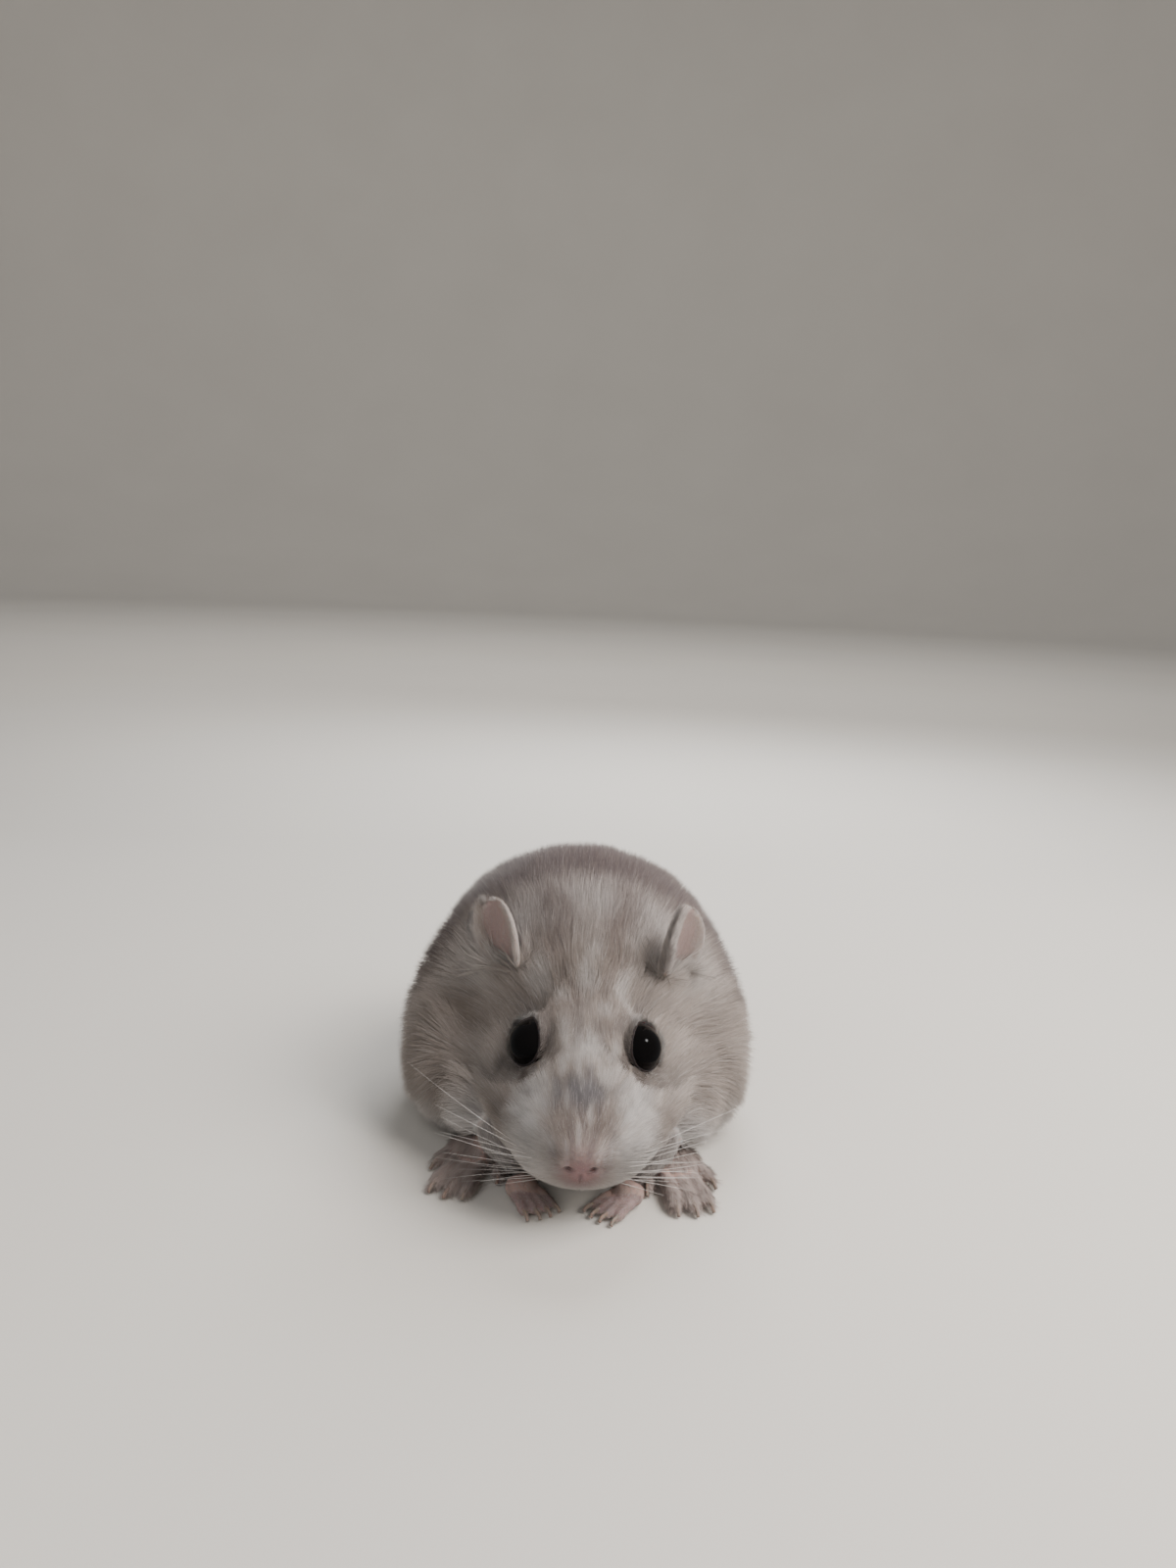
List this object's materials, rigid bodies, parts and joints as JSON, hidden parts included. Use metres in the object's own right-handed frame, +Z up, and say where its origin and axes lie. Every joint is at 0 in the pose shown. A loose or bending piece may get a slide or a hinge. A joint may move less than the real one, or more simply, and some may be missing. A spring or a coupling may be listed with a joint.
{
  "type": "gerbil",
  "caption": "Small rodent with a soft pale grey-brown coat, crouched on its feet with its forepaws turned in under its muzzle and its tail curled behind it.",
  "frame": {"origin": "on the floor, on the flat of the belly under the shoulders", "axes": "the animal faces -Y, +Z is up and +X is its left side"},
  "size_m": [0.057, 0.1174, 0.0432],
  "materials": {
    "coat": "soft matte fur",
    "skin": "bare and thinly haired skin",
    "eye": "wet gloss"
  },
  "bodies": {
    "root": {"head": "coat", "neck": "coat", "torso": "coat", "haunch_left": "coat", "haunch_right": "coat", "foreleg_left": "coat", "foreleg_right": "coat", "tail_root": "coat", "tail_middle": "coat", "tail_tuft": "coat", "ear_left": "skin", "ear_right": "skin", "hand_left": "skin", "hand_right": "skin", "hind_foot_left": "skin", "hind_foot_right": "skin", "eye_left": "eye", "eye_right": "eye"}
  },
  "joints": []
}
